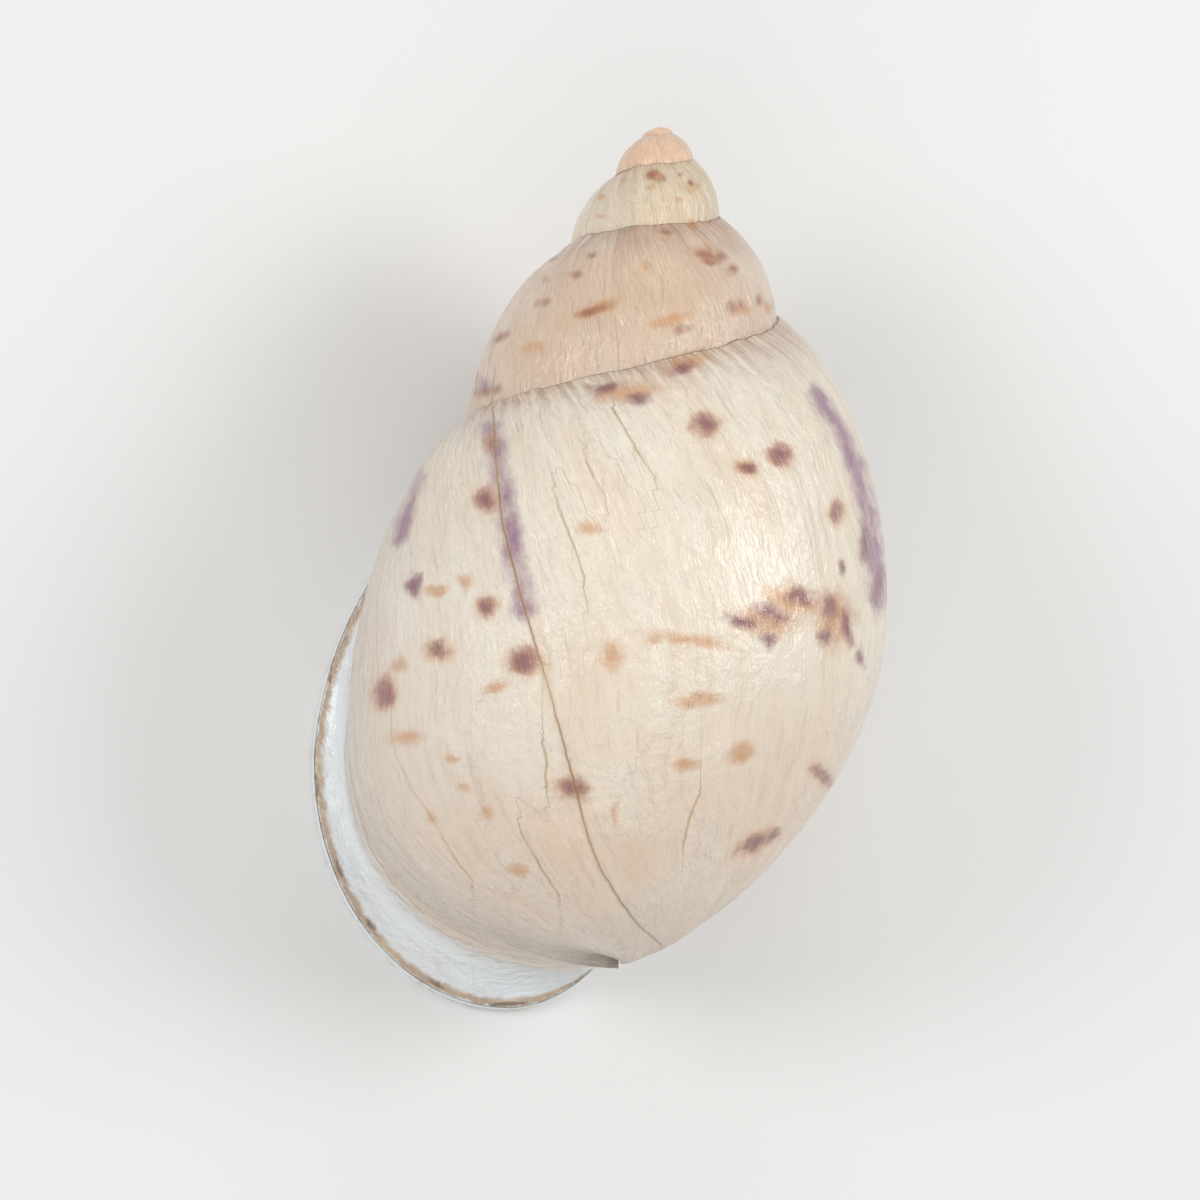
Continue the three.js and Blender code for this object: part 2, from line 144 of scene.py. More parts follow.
AMBER_SPOTS = (
    Spot(652, 185, 5, 5, 0), Spot(678, 199, 6, 4, 0), Spot(694, 190, 5, 5, 0), Spot(598, 196, 6, 4, 0),
    Spot(599, 214, 7, 4, 0), Spot(620, 176, 5, 4, 0), Spot(700, 184, 4, 4, 0), Spot(655, 175, 9, 5, 0),
    Spot(742, 309, 11, 8, 0), Spot(768, 306, 5, 8, 0), Spot(670, 319, 24, 7, 14), Spot(532, 346, 13, 7, 18),
    Spot(644, 266, 7, 6, 0), Spot(694, 222, 8, 4, 0), Spot(708, 250, 16, 12, -25), Spot(596, 306, 24, 9, 22),
    Spot(589, 528, 11, 8, 0), Spot(463, 580, 9, 9, 0), Spot(434, 589, 14, 7, 0), Spot(522, 662, 24, 18, -8),
    Spot(495, 688, 16, 8, 10), Spot(437, 650, 18, 15, 0), Spot(381, 693, 15, 22, 0), Spot(396, 663, 9, 9, 0),
    Spot(403, 738, 20, 10, 0), Spot(451, 760, 10, 6, 0), Spot(464, 787, 8, 6, 0), Spot(486, 813, 8, 10, 0),
    Spot(430, 820, 6, 10, 20), Spot(519, 873, 13, 7, -10), Spot(571, 790, 22, 15, 0),
    Spot(612, 655, 13, 16, 0), Spot(655, 639, 11, 9, 0), Spot(687, 765, 14, 8, 5),
    Spot(743, 754, 20, 10, 25), Spot(796, 603, 34, 22, -10), Spot(766, 620, 34, 18, -14),
    Spot(838, 618, 22, 34, 0), Spot(706, 424, 18, 17, 0), Spot(748, 466, 13, 12, 0),
    Spot(782, 456, 16, 16, 0), Spot(839, 511, 11, 16, 0), Spot(625, 388, 38, 12, 8),
    Spot(688, 360, 24, 10, 10), Spot(826, 778, 11, 21, 38), Spot(760, 845, 30, 11, 28),
    Spot(615, 815, 4, 18, 0), Spot(489, 442, 9, 12, 0), Spot(690, 640, 50, 8, -10),
    Spot(483, 499, 15, 16, 0), Spot(485, 608, 14, 16, 0), Spot(700, 700, 30, 9, 10),
)

VIOLET_SPOTS = (
    Spot(523, 660, 17, 12, 0), Spot(411, 584, 9, 12, 0), Spot(781, 455, 10, 12, 0), Spot(483, 499, 10, 12, 0),
    Spot(380, 692, 10, 15, 0), Spot(578, 788, 9, 9, 0), Spot(826, 777, 7, 14, 38), Spot(706, 424, 10, 10, 0),
    Spot(486, 385, 12, 10, 0), Spot(521, 603, 15, 18, 0),
)

# Violet bands: half their width and their middle line from top to bottom
VIOLET_BANDS = (
    (11, ((817, 392), (836, 420), (853, 450), (865, 485), (873, 520), (879, 560), (883, 605))),
    (15, ((490, 425), (500, 480), (508, 530), (516, 575), (523, 612))),
    (9, ((417, 475), (404, 508), (395, 542))),
)

# Bent lines, each as (across, down) corners from top to bottom
CRACKS = (
    ((612, 407), (626, 430), (640, 455), (656, 476)),
    ((585, 459), (594, 478), (606, 499)),
    ((553, 491), (563, 520), (576, 552), (585, 581)),
    ((540, 740), (546, 762), (544, 776), (547, 790)),
    ((387, 730), (393, 755), (410, 790), (432, 823), (452, 860), (472, 885)),
    ((700, 795), (690, 820), (684, 845)),
    ((518, 830), (540, 868), (560, 900)),
)
REST_LINE = (
    (490, 405), (494, 460), (500, 520), (520, 600), (545, 680), (560, 735),
    (575, 790), (588, 840), (600, 870), (618, 900), (640, 930), (662, 948),
)

DARK_FLECKS_ON_LIP = (
    Spot(313, 722, 3, 24, 0), Spot(316, 786, 3, 15, 0), Spot(340, 868, 4, 14, 20), Spot(372, 924, 6, 10, 40),
    Spot(436, 983, 14, 4, -38), Spot(505, 1004, 34, 3, 2), Spot(582, 983, 12, 5, 20),
    Spot(330, 672, 3, 14, 0),
)


class ShellProperties(bpy.types.PropertyGroup):
    """Sizes and finishes of the shell"""

    wall: bpy.props.FloatProperty(
        name="Wall", description="Thickness of the last whorl's wall", default=0.9 * MM, unit="LENGTH"
    )
    lip_thickness: bpy.props.FloatProperty(
        name="Lip", description="Thickness of the flared lip", default=1.08 * MM, unit="LENGTH"
    )
    callus: bpy.props.FloatProperty(
        name="Callus", description="Thickness of the glaze on the belly inside the mouth",
        default=0.22 * MM, unit="LENGTH",
    )
    pucker_depth: bpy.props.FloatProperty(
        name="Puckers", description="Depth of the puckers under the seam", default=0.22 * MM, unit="LENGTH"
    )
    cream: bpy.props.FloatVectorProperty(
        name="Cream", description="Ground colour of the last whorl",
        subtype="COLOR", default=(0.84, 0.75, 0.62),
    )
    lip_white: bpy.props.FloatVectorProperty(
        name="Lip white", description="Colour of the flared lip",
        subtype="COLOR", default=(0.78, 0.82, 0.84),
    )
    rim_tan: bpy.props.FloatVectorProperty(
        name="Rim tan", description="Colour of the lip's margin",
        subtype="COLOR", default=(0.46, 0.31, 0.19),
    )
    dark: bpy.props.FloatVectorProperty(
        name="Dark spots", description="Colour of the dark spots",
        subtype="COLOR", default=(0.25, 0.095, 0.11),
    )
    amber: bpy.props.FloatVectorProperty(
        name="Amber spots", description="Colour of the amber spots",
        subtype="COLOR", default=(0.62, 0.31, 0.13),
    )
    violet: bpy.props.FloatVectorProperty(
        name="Violet bands", description="Colour of the violet bands",
        subtype="COLOR", default=(0.33, 0.17, 0.25),
    )


class StageProperties(bpy.types.PropertyGroup):
    """Floor, lights and camera"""

    floor_colour: bpy.props.FloatVectorProperty(
        name="Floor", description="Colour of the floor", subtype="COLOR", default=(0.80, 0.80, 0.79)
    )
    floor_size: bpy.props.FloatProperty(
        name="Floor size", description="Side of the floor", default=3.0, unit="LENGTH"
    )
    key_power: bpy.props.FloatProperty(name="Key", description="Watts of the key light", default=0.8)
    fill_power: bpy.props.FloatProperty(name="Fill", description="Watts of the fill light", default=0.7)
    top_power: bpy.props.FloatProperty(
        name="Top", description="Watts of the light beyond the apex", default=0.3
    )
    low_power: bpy.props.FloatProperty(
        name="Low", description="Watts of the light on the base's side", default=0.5
    )
    sky: bpy.props.FloatProperty(
        name="Sky", description="Strength of the even light all round", default=0.46
    )


# Curves and noise

def ease(value, start, end):
    """Cubic ease from 0 at start to 1 at end."""
    t = np.clip((value - start) / (end - start), 0, 1)
    return t * t * (3 - 2 * t)


def mix(a, b, share):
    """Straight mix from a to b."""
    return a + (b - a) * share


def station(values, azimuth):
    """Uniform Catmull-Rom curve through the half-turn stations."""
    x = (azimuth - FIRST_STATION) / HALF_TURN
    i = np.clip(np.floor(x).astype(int), 0, len(values) - 2)
    f = np.clip(x - i, 0, 1)
    a, b, c, d = (values[np.clip(i + k, 0, len(values) - 1)] for k in (-1, 0, 1, 2))
    return 0.5 * (2 * b + (c - a) * f + (2 * a - 5 * b + 4 * c - d) * f**2 + (3 * b - a - 3 * c + d) * f**3)


def value_noise(x, y, seed):
    """Smooth noise from -1 to 1: random values on a unit lattice, blended by a cubic ease both ways."""
    lattice = np.random.default_rng(seed).uniform(-1, 1, (256, 256))
    i, j = np.floor(x).astype(int), np.floor(y).astype(int)
    u, v = ease(x - i, 0, 1), ease(y - j, 0, 1)
    at = lambda a, b: lattice[(i + a) % 256, (j + b) % 256]
    return mix(mix(at(0, 0), at(1, 0), u), mix(at(0, 1), at(1, 1), u), v)


# Shape of the whorls

def whorl(azimuth):
    """Seam, widest place, start of the upper arc, base depth and fullness of the whorl at an azimuth."""
    seam_r, seam_z = station(SEAM_RADIUS, azimuth), station(SEAM_DEPTH, azimuth)
    wide_r = seam_r + (station(SEAM_RADIUS, azimuth + FULL_TURN) - seam_r) / NEXT_SEAM_WIDTH
    wide_z = seam_z + (station(SEAM_DEPTH, azimuth + FULL_TURN) - seam_z) / NEXT_SEAM_DEPTH
    start = np.radians(mix(SHOULDER_EARLY, SHOULDER_LATE, ease(azimuth, *SHOULDER_CHANGE)))
    depth = wide_r * mix(BASE_DEPTH_EARLY, BASE_DEPTH_LATE, ease(azimuth, *BASE_DEPTH_CHANGE))
    fullness = mix(BASE_FULL_EARLY, BASE_FULL_LATE, ease(azimuth, *BASE_FULL_CHANGE))
    return seam_r, seam_z, wide_r, wide_z, start, depth, fullness


def profile(azimuth, v):
    """Outside of a whorl as (radius, depth): an ellipse arc from the seam to the widest place while v is
    under a half, then a superellipse quarter to the axis."""
    azimuth, v = np.broadcast_arrays(np.asarray(azimuth, float), np.asarray(v, float))
    seam_r, seam_z, wide_r, wide_z, start, depth, fullness = whorl(azimuth)
    u = mix(start, np.pi / 2, np.clip(v / 0.5, 0, 1))
    reach = (wide_r - seam_r) / (1 - np.sin(start))
    drop = (wide_z - seam_z) / np.cos(start)
    w = np.pi / 2 * np.clip((v - 0.5) / 0.5, 0, 1)
    lower_r = wide_r * np.clip(np.cos(w), 0, 1) ** (2 / fullness)
    lower_z = wide_z + depth * np.sin(w) ** (2 / fullness)
    upper = v < 0.5
    return (
        np.where(upper, wide_r - reach * (1 - np.sin(u)), lower_r),
        np.where(upper, wide_z - drop * np.cos(u), lower_z),
    )


def inner_profile(azimuth, v, thickness):
    """The outside moved square to itself into the wall, kept off the pillar."""
    step = 0.004
    r, z = profile(azimuth, v)
    r0, z0 = profile(azimuth, np.clip(v - step, 0, 1))
    r1, z1 = profile(azimuth, np.clip(v + step, 0, 1))
    length = np.hypot(r1 - r0, z1 - z0) + 1e-9
    return (
        np.maximum(r - thickness * (z1 - z0) / length, PILLAR_RADIUS),
        z + thickness * (r1 - r0) / length,
    )


def belly_radius(azimuth, z):
    """Radius of the whorl one turn back at a depth, from the same two curves solved for the radius."""
    seam_r, seam_z, wide_r, wide_z, start, depth, fullness = whorl(azimuth - FULL_TURN)
    reach = (wide_r - seam_r) / (1 - np.sin(start))
    drop = (wide_z - seam_z) / np.cos(start)
    upper = wide_r - reach * (1 - np.sqrt(np.clip(1 - ((wide_z - z) / drop) ** 2, 0, 1)))
    lower = wide_r * np.clip(1 - np.clip((z - wide_z) / depth, 0, 1) ** fullness, 0, 1) ** (1 / fullness)
    return np.where(z < wide_z, upper, lower)


def place(azimuth, r, z):
    """From round the shell's axis to the table: turned by the roll, apex raised, then set down."""
    turn, raised = np.radians(azimuth + ROLL), math.radians(APEX_RAISE)
    out = r * np.cos(turn)
    return np.stack([
        -r * np.sin(turn) - MIDDLE_X,
        -z * math.cos(raised) - out * math.sin(raised) - MIDDLE_Y,
        -z * math.sin(raised) + out * math.cos(raised) + TABLE_DROP,
    ], -1)


def round_axis(points):
    """The opposite of place: (azimuth from 0 to 360, radius, depth)."""
    raised = math.radians(APEX_RAISE)
    x, y, h = points[..., 0] + MIDDLE_X, points[..., 1] + MIDDLE_Y, points[..., 2] - TABLE_DROP
    out = -y * math.sin(raised) + h * math.cos(raised)
    azimuth = np.degrees(np.arctan2(-x, out)) - ROLL
    return azimuth % FULL_TURN, np.hypot(x, out), -(y * math.cos(raised) + h * math.sin(raised))


def growth_lag(t, v):
    """How far the growth line runs ahead of its row: most at the seam, behind at the base of early whorls."""
    at_seam = SEAM_LEAD + SEAM_LEAD_GAIN * ease(t, -60, 20) - SEAM_LEAD_LOSS * ease(t, 60, FLARE_START)
    at_base = -BASE_LAG + BASE_LAG * ease(t, 20, FLARE_START)
    return at_seam * np.clip(1 - v / 0.5, 0, 1) ** 1.5 + at_base * np.clip((v - 0.5) / 0.5, 0, 1) ** 2


# Shape of the lip

def egg(q, outward):
    """Point of the lip's outline: four quarter ellipses, the upper two drawn to a point."""
    turn = 2 * np.pi * q
    power = np.where(np.cos(turn) > 0, LIP_POINTED, 1)
    across = -np.sign(np.sin(turn)) * np.abs(np.sin(turn)) ** power
    along = np.sign(np.cos(turn)) * np.abs(np.cos(turn)) ** power
    x = LIP_X + across * np.where(across < 0, LIP_LEFT, LIP_RIGHT) + across * outward
    y = LIP_Y + along * np.where(along < 0, LIP_DOWN, LIP_UP) + along * outward
    return x, y


def free_lip(q):
    """1 where the lip lies on the table, 0 where it lies on the belly."""
    return ease(q, 0, 0.06) * (1 - ease(q, 0.72, 0.84))


def lip_ring(q, outward, height, over_belly):
    """Ring of the lip: the egg on the table, brought onto the belly where the lip isn't free."""
    x, y = egg(q, outward)
    free = free_lip(q)
    belly = x**2 / (2 * BELLY_RADIUS_X) + (y - BELLY_Y) ** 2 / (2 * BELLY_RADIUS_Y)
    ring = np.stack([x - MIDDLE_X, y - MIDDLE_Y, mix(belly, height, free)], -1)
    azimuth, _, z = round_axis(ring)
    on_belly = place(azimuth, belly_radius(azimuth, z) + over_belly, z)
    return mix(on_belly, ring, free[:, None])


def flare(start, growth, end, pull, rows):
    """Cubic Hermite rows from the tube, leaving along the growth, to the lip, arriving outwards."""
    reach = np.linalg.norm(end - start, axis=-1, keepdims=True)
    length = np.linalg.norm(growth, axis=-1, keepdims=True) + 1e-9
    growth = growth / length * np.minimum(length, reach)
    away = end - np.array([LIP_X - MIDDLE_X, LIP_Y - MIDDLE_Y, 0])
    away[..., 2] = 0
    away = away / (np.linalg.norm(away, axis=-1, keepdims=True) + 1e-9) * reach * pull
    t = rows[:, None, None]
    return (
        (2 * t**3 - 3 * t**2 + 1) * start + (t**3 - 2 * t**2 + t) * growth
        + (3 * t**2 - 2 * t**3) * end + (t**3 - t**2) * away
    )


def column_values():
    """Columns round a section: v on the outside, s on the way back, and the lip's q for both."""
    v = np.linspace(0, 1, OUTSIDE_COLUMNS) ** 1.15
    s = np.linspace(0, 1, RETURN_COLUMNS + 2)[1:-1]
    q = np.concatenate([
        np.where(v < 0.5, v / 2, mix(0.25, LIP_CORNER, (v - 0.5) / 0.5)),
        mix(LIP_CORNER, LIP_RETURN_END, s),
    ])
    return v, s, q


def tube_azimuth(t, v, s):
    """Azimuth of every point of the rows t, the way back sliding from the base's lag to the seam's."""
    lag_outside = growth_lag(t, v)
    lag_return = mix(growth_lag(t, 1.0), growth_lag(t, 0.0), s)
    return np.concatenate([t + lag_outside, t + lag_return], -1)


def outer_rows(t, v, s):
    """The outside of the whorls, closed along the hub inside the earlier whorls."""
    azimuth = tube_azimuth(t, v, s)
    r, z = profile(azimuth[:, :len(v)], v)
    r = np.concatenate([r - SEAM_TUCK * (v < 1e-6), np.full((len(t), len(s)), HUB_RADIUS)], -1)
    back = azimuth[:, len(v):]
    z = np.concatenate([z, mix(profile(back, 1)[1], profile(back, 0)[1], s)], -1)
    return place(azimuth, np.maximum(r, HUB_RADIUS), z)


def inner_rows(t, v, s, wall, callus):
    """The inside of the last whorl: its wall, the pillar, and a glaze on the whorl one turn back."""
    azimuth = tube_azimuth(t, v, s)
    r, z = inner_profile(azimuth[:, :len(v)], v, wall)
    back = azimuth[:, len(v):]
    tip = profile(back - FULL_TURN, PREVIOUS_TIP)[1] + callus
    floor = profile(back, 1)[1] - wall
    up_pillar = mix(floor, tip, np.clip(s / PILLAR_SHARE, 0, 1))
    along_belly = np.clip((s - PILLAR_SHARE) / (1 - PILLAR_SHARE), 0, 1)
    belly_z = profile(back - FULL_TURN, mix(PREVIOUS_TIP, PREVIOUS_SEAM, along_belly))[1]
    back_z = np.where(s < PILLAR_SHARE, up_pillar, belly_z + callus * (1 - along_belly))
    z = np.concatenate([z, back_z], -1)
    r = np.concatenate([r, np.full(back.shape, PILLAR_RADIUS)], -1)
    return place(azimuth, np.maximum(r, belly_radius(azimuth, z) + callus), z)


def off_belly(points, callus):
    """Points pushed out of the whorl one turn back, by the glaze's thickness."""
    azimuth, r, z = round_axis(points)
    return place(azimuth, np.maximum(r, belly_radius(azimuth, z) + callus), z)


def outward_normals(grid):
    """Unit normals of a grid of points from its central differences, the ring closed along its columns."""
    down = np.gradient(grid, axis=0)
    across = np.roll(grid, -1, axis=1) - np.roll(grid, 1, axis=1)
    normal = np.cross(across, down)
    return normal / (np.linalg.norm(normal, axis=-1, keepdims=True) + 1e-12)


def spot_field(spots, across, down):
    """Largest over the spots of 1 minus the distance in that spot's own tilted ellipse."""
    field = np.full(across.shape, -1.0)
    for spot in spots:
        a = math.radians(spot.lean)
        dx, dy = across - spot.across, down - spot.down
        along, aside = dx * math.cos(a) - dy * math.sin(a), dx * math.sin(a) + dy * math.cos(a)
        field = np.maximum(field, 1 - np.hypot(along / spot.half_width, aside / spot.half_height))
    return field


def line_distance(lines, across, down):
    """Distance across from the nearest bent line, under 0 to its left, growing past the line's two ends."""
    nearest = np.full(across.shape, float(FAR))
    for line in lines:
        xs, ys = np.array(line).T
        away = across - np.interp(down, ys, xs)
        past = np.maximum(ys[0] - down, 0) + np.maximum(down - ys[-1], 0)
        away = away + np.where(away < 0, -past, past)
        nearest = np.where(np.abs(away) < np.abs(nearest), away, nearest)
    return nearest


def band_field(bands, across, down):
    """Largest over the bands of 1 minus the distance from that band's middle line in half widths."""
    field = np.full(across.shape, -1.0)
    for half_width, line in bands:
        field = np.maximum(field, 1 - np.abs(line_distance((line,), across, down)) / half_width)
    return field


def scattered_field(growth, across, seed, count, low, high):
    """The same field for spots strewn at random along the growth, for the sides that the photograph hides."""
    rng = np.random.default_rng(seed)
    field = np.full(growth.shape, -1.0)
    for _ in range(count):
        g, a = rng.uniform(growth.min(), growth.max()), rng.uniform(2, 44)
        length, width = rng.uniform(low, high), rng.uniform(low * 0.6, high * 0.7)
        field = np.maximum(field, 1 - np.hypot((growth - g) / length, (across - a) / width))
    return field


def view_axes():
    """Right, up and towards the camera, for the photograph's line of sight."""
    b, g, lean = (math.radians(a) for a in (VIEW_ROLL, VIEW_RAISE, VIEW_LEAN))
    shell_x = np.array([math.cos(b), -math.sin(b) * math.sin(g), math.sin(b) * math.cos(g)])
    shell_y = np.array([0, math.cos(g), math.sin(g)])
    right = math.cos(lean) * shell_x + math.sin(lean) * shell_y
    up = -math.sin(lean) * shell_x + math.cos(lean) * shell_y
    return right, up, np.cross(right, up)


def in_picture(points):
    """Where points fall in the photograph's plane, in its pixels, by perspective from the camera."""
    right, up, toward = view_axes()
    rel = points - AIM
    scale = CAMERA_DISTANCE / (CAMERA_DISTANCE - rel @ toward) / PIXEL
    return PICTURE_MIDDLE + rel @ right * scale, PICTURE_MIDDLE - rel @ up * scale


def dome(radius, rise, rows, columns):
    """Flattened ball over the first whorl: latitude circles from pole to pole."""
    latitude = np.linspace(0, np.pi, rows)[1:-1]
    longitude = np.linspace(0, 2 * np.pi, columns, endpoint=False)
    latitude, longitude = np.meshgrid(latitude, longitude, indexing="ij")
    return place(np.degrees(longitude), radius * np.sin(latitude), rise * (1 - np.cos(latitude)))


def ring_faces(rows, columns):
    """Quads between rows of closed rings."""
    i, j = np.meshgrid(np.arange(rows - 1), np.arange(columns), indexing="ij")
    a = i * columns + j
    b = i * columns + (j + 1) % columns
    return np.stack([a, b, b + columns, a + columns], -1).reshape(-1, 4).tolist()


def fan_faces(ring, middle, turned):
    """Triangles from a ring of vertices to a middle vertex."""
    after = np.roll(ring, -1)
    faces = np.stack([after, ring, np.full_like(ring, middle)], -1)
    return (faces[:, ::-1] if turned else faces).tolist()


def closed_surface(grid):
    """Vertices and faces of rows of rings, with a fan at each end."""
    rows, columns = grid.shape[:2]
    points = np.concatenate([grid.reshape(-1, 3), grid[:1].mean(1), grid[-1:].mean(1)])
    faces = ring_faces(rows, columns)
    faces += fan_faces(np.arange(columns), rows * columns, False)
    faces += fan_faces(np.arange(columns) + (rows - 1) * columns, rows * columns + 1, True)
    return points, faces


def mesh_object(name, points, faces, attributes):
    """Smooth-shaded mesh in metres with float attributes on its points, turned right side out."""
    corners = np.array([f[:3] for f in faces])
    a, b, c = (points[corners[:, k]] for k in range(3))
    if np.einsum("ij,ij->i", a, np.cross(b, c)).sum() < 0:
        faces = [f[::-1] for f in faces]
    mesh = bpy.data.meshes.new(name)
    mesh.from_pydata((points * MM).tolist(), [], faces)
    mesh.polygons.foreach_set("use_smooth", np.ones(len(faces), bool))
    for key, values in attributes.items():
        layer = mesh.attributes.new(key, "FLOAT", "POINT")
        layer.data.foreach_set("value", values.astype(np.float32))
    mesh.update()
    piece = bpy.data.objects.new(name, mesh)
    bpy.context.scene.collection.objects.link(piece)
    return piece


# Materials

class Nodes:
    """Adds nodes to a material's tree and joins their sockets."""

    def __init__(self, name):
        self.material = bpy.data.materials.new(name)
        self.material.use_nodes = True
        self.tree = self.material.node_tree
        self.shader = self.tree.nodes["Principled BSDF"]

    def add(self, kind, inputs=None, **settings):
        node = self.tree.nodes.new(kind)
        for key, value in settings.items():
            setattr(node, key, value)
        for key, value in (inputs or {}).items():
            self.put(node.inputs[key], value)
        return node

    def put(self, socket, value):
        if isinstance(value, bpy.types.NodeSocket):
            self.tree.links.new(value, socket)
        else:
            socket.default_value = value

    def attribute(self, name):
        return self.add("ShaderNodeAttribute", attribute_name=name).outputs["Fac"]

    def math(self, operation, a, b=0.0):
        return self.add("ShaderNodeMath", {0: a, 1: b}, operation=operation).outputs[0]

    def step(self, value, low, high, out_low=0.0, out_high=1.0):
        inputs = {"Value": value, "From Min": low, "From Max": high, "To Min": out_low, "To Max": out_high}
        return self.add("ShaderNodeMapRange", inputs, interpolation_type="SMOOTHSTEP").outputs[0]

    def colour(self, share, a, b):
        return self.add("ShaderNodeMix", {0: share, 6: a, 7: b}, data_type="RGBA").outputs[2]

    def noise(self, vector, scale, detail=2.0, rough=0.5):
        inputs = {"Vector": vector, "Scale": scale, "Detail": detail, "Roughness": rough}
        return self.add("ShaderNodeTexNoise", inputs).outputs["Fac"]

    def stretched(self, growth, across, growth_scale, across_scale, detail=2.0, rough=0.5):
        """Noise on the growth and the distance across it, each with its own scale."""
        along = self.math("MULTIPLY", growth, growth_scale)
        aside = self.math("MULTIPLY", across, across_scale)
        vector = self.add("ShaderNodeCombineXYZ", {0: along, 1: aside}).outputs[0]
        return self.noise(vector, 1.0, detail, rough)

    def roughened(self, name, ragged, amount):
        """An attribute with a ragged noise added."""
        return self.math("ADD", self.attribute(name), self.math("MULTIPLY", ragged, amount))


def rgb(colour):
    """Colour with an opaque fourth value."""
    return (*colour, 1.0)


def ground_colour(n, look, age, across, near_lip, ribs, mottle):
    """Peach, straw, pinkish and cream from the apex on, with tan growth bands and pale mottling, and grey
    painted shade near the lip.
    """
    bands = n.stretched(n.attribute("growth"), across, 0.42, 0.06)
    spire = n.colour(n.step(age, 0.34, 0.44), (0.80, 0.52, 0.35, 1), (0.72, 0.59, 0.41, 1))
    spire = n.colour(n.step(age, 0.56, 0.64), spire, (0.68, 0.50, 0.37, 1))
    body = n.colour(n.step(age, 0.80, 0.87), spire, rgb(look.cream))
    body = n.colour(n.step(across, 22, 40, 0, 0.75), body, (0.80, 0.62, 0.48, 1))
    # greyer near the lip: painted shade where the last whorl turns down to the lip
    body = n.colour(near_lip, body, (0.66, 0.58, 0.51, 1))
    body = n.colour(n.step(bands, 0.35, 0.7, 0, 0.30), body, (0.72, 0.52, 0.34, 1))
    body = n.colour(n.step(ribs, 0.52, 0.70, 0, 0.25), body, (0.56, 0.40, 0.27, 1))
    return n.colour(n.step(mottle, 0.42, 0.7, 0, 0.35), body, (0.90, 0.85, 0.75, 1))


def spotted(n, look, body, age, ribs, ragged, position):
    """The seam's band, part stain and part painted shade, then violet, amber and dark spots over the ground.
    """
    # darker brown band under the seam: partly stain, partly painted shade of the seam's crease and its
    # puckers
    seam_stain_and_shade = n.math("MULTIPLY", n.attribute("seam_stain_and_shade"), n.step(ribs, 0.30, 0.65))
    body = n.colour(seam_stain_and_shade, body, (0.44, 0.24, 0.16, 1))
    patchy = n.step(n.noise(position, 330.0, 3.0, 0.6), 0.32, 0.58, 0.5, 1.0)
    violet = n.math("MULTIPLY", n.step(n.roughened("violet", ragged, 1.1), -0.40, 0.95), patchy)
    body = n.colour(violet, body, rgb(look.violet))
    amber = n.step(n.roughened("amber", ragged, 1.2), -0.35, 0.80, 0, 0.80)
    body = n.colour(amber, body, rgb(look.amber))
    spot_dark = n.colour(n.step(age, 0.80, 0.87), (0.33, 0.12, 0.055, 1), rgb(look.dark))
    return n.colour(n.step(n.roughened("dark", ragged, 1.2), -0.35, 0.85, 0, 0.90), body, spot_dark)


def lined(n, body, age, across, mottle, crack, rest_away, rest_line):
    """Cracks, the rest line with its tan margin and the seam's dark line, partly painted shade of its crease,
    over the spots.
    """
    crack_share = n.math("MULTIPLY", crack, n.step(mottle, 0.35, 0.55, 0.15, 0.65))
    body = n.colour(crack_share, body, (0.52, 0.31, 0.10, 1))
    body = n.colour(n.step(rest_away, 1.0, 5.0, 0.35, 0.0), body, (0.62, 0.42, 0.22, 1))
    rest_share = n.math("MULTIPLY", rest_line, n.step(mottle, 0.3, 0.6, 0.35, 0.8))
    body = n.colour(rest_share, body, (0.34, 0.18, 0.07, 1))
    # dark line along the seam: partly the seam's own brown, partly painted shade in its crease
    seam_line_and_shade_share = n.math("MULTIPLY", n.step(across, 0.08, 0.34, 0.85, 0.0), n.step(age, 0.35, 0.5))
    return n.colour(seam_line_and_shade_share, body, (0.16, 0.10, 0.07, 1))


def lip_colour(n, look, across, ragged, position):
    """Blue-white porcelain with grey ripples, and a flecked tan band inside its pale margin."""
    edge = n.attribute("edge")
    cloud = n.step(n.noise(position, 260.0, 3.0), 0.35, 0.7)
    white = n.colour(cloud, rgb(look.lip_white), (0.80, 0.82, 0.82, 1))
    ripple = n.stretched(edge, across, 2.4, 0.05)
    white = n.colour(n.step(ripple, 0.5, 0.7, 0, 0.25), white, (0.52, 0.50, 0.50, 1))
    uneven = n.math("ADD", edge, n.math("MULTIPLY", ragged, 0.9))
    tan = n.math("MULTIPLY", n.step(uneven, 0.16, 0.36), n.step(uneven, 0.6, 1.05, 0.85, 0.0))
    worn = n.step(n.noise(position, 700.0, 3.0, 0.7), 0.45, 0.65)
    white = n.colour(tan, white, n.colour(worn, rgb(look.rim_tan), (0.60, 0.45, 0.30, 1)))
    fleck = n.math("MULTIPLY", n.step(n.roughened("fleck", ragged, 1.0), 0.0, 0.5), tan)
    return n.colour(n.math("MULTIPLY", fleck, 0.8), white, (0.10, 0.05, 0.03, 1))


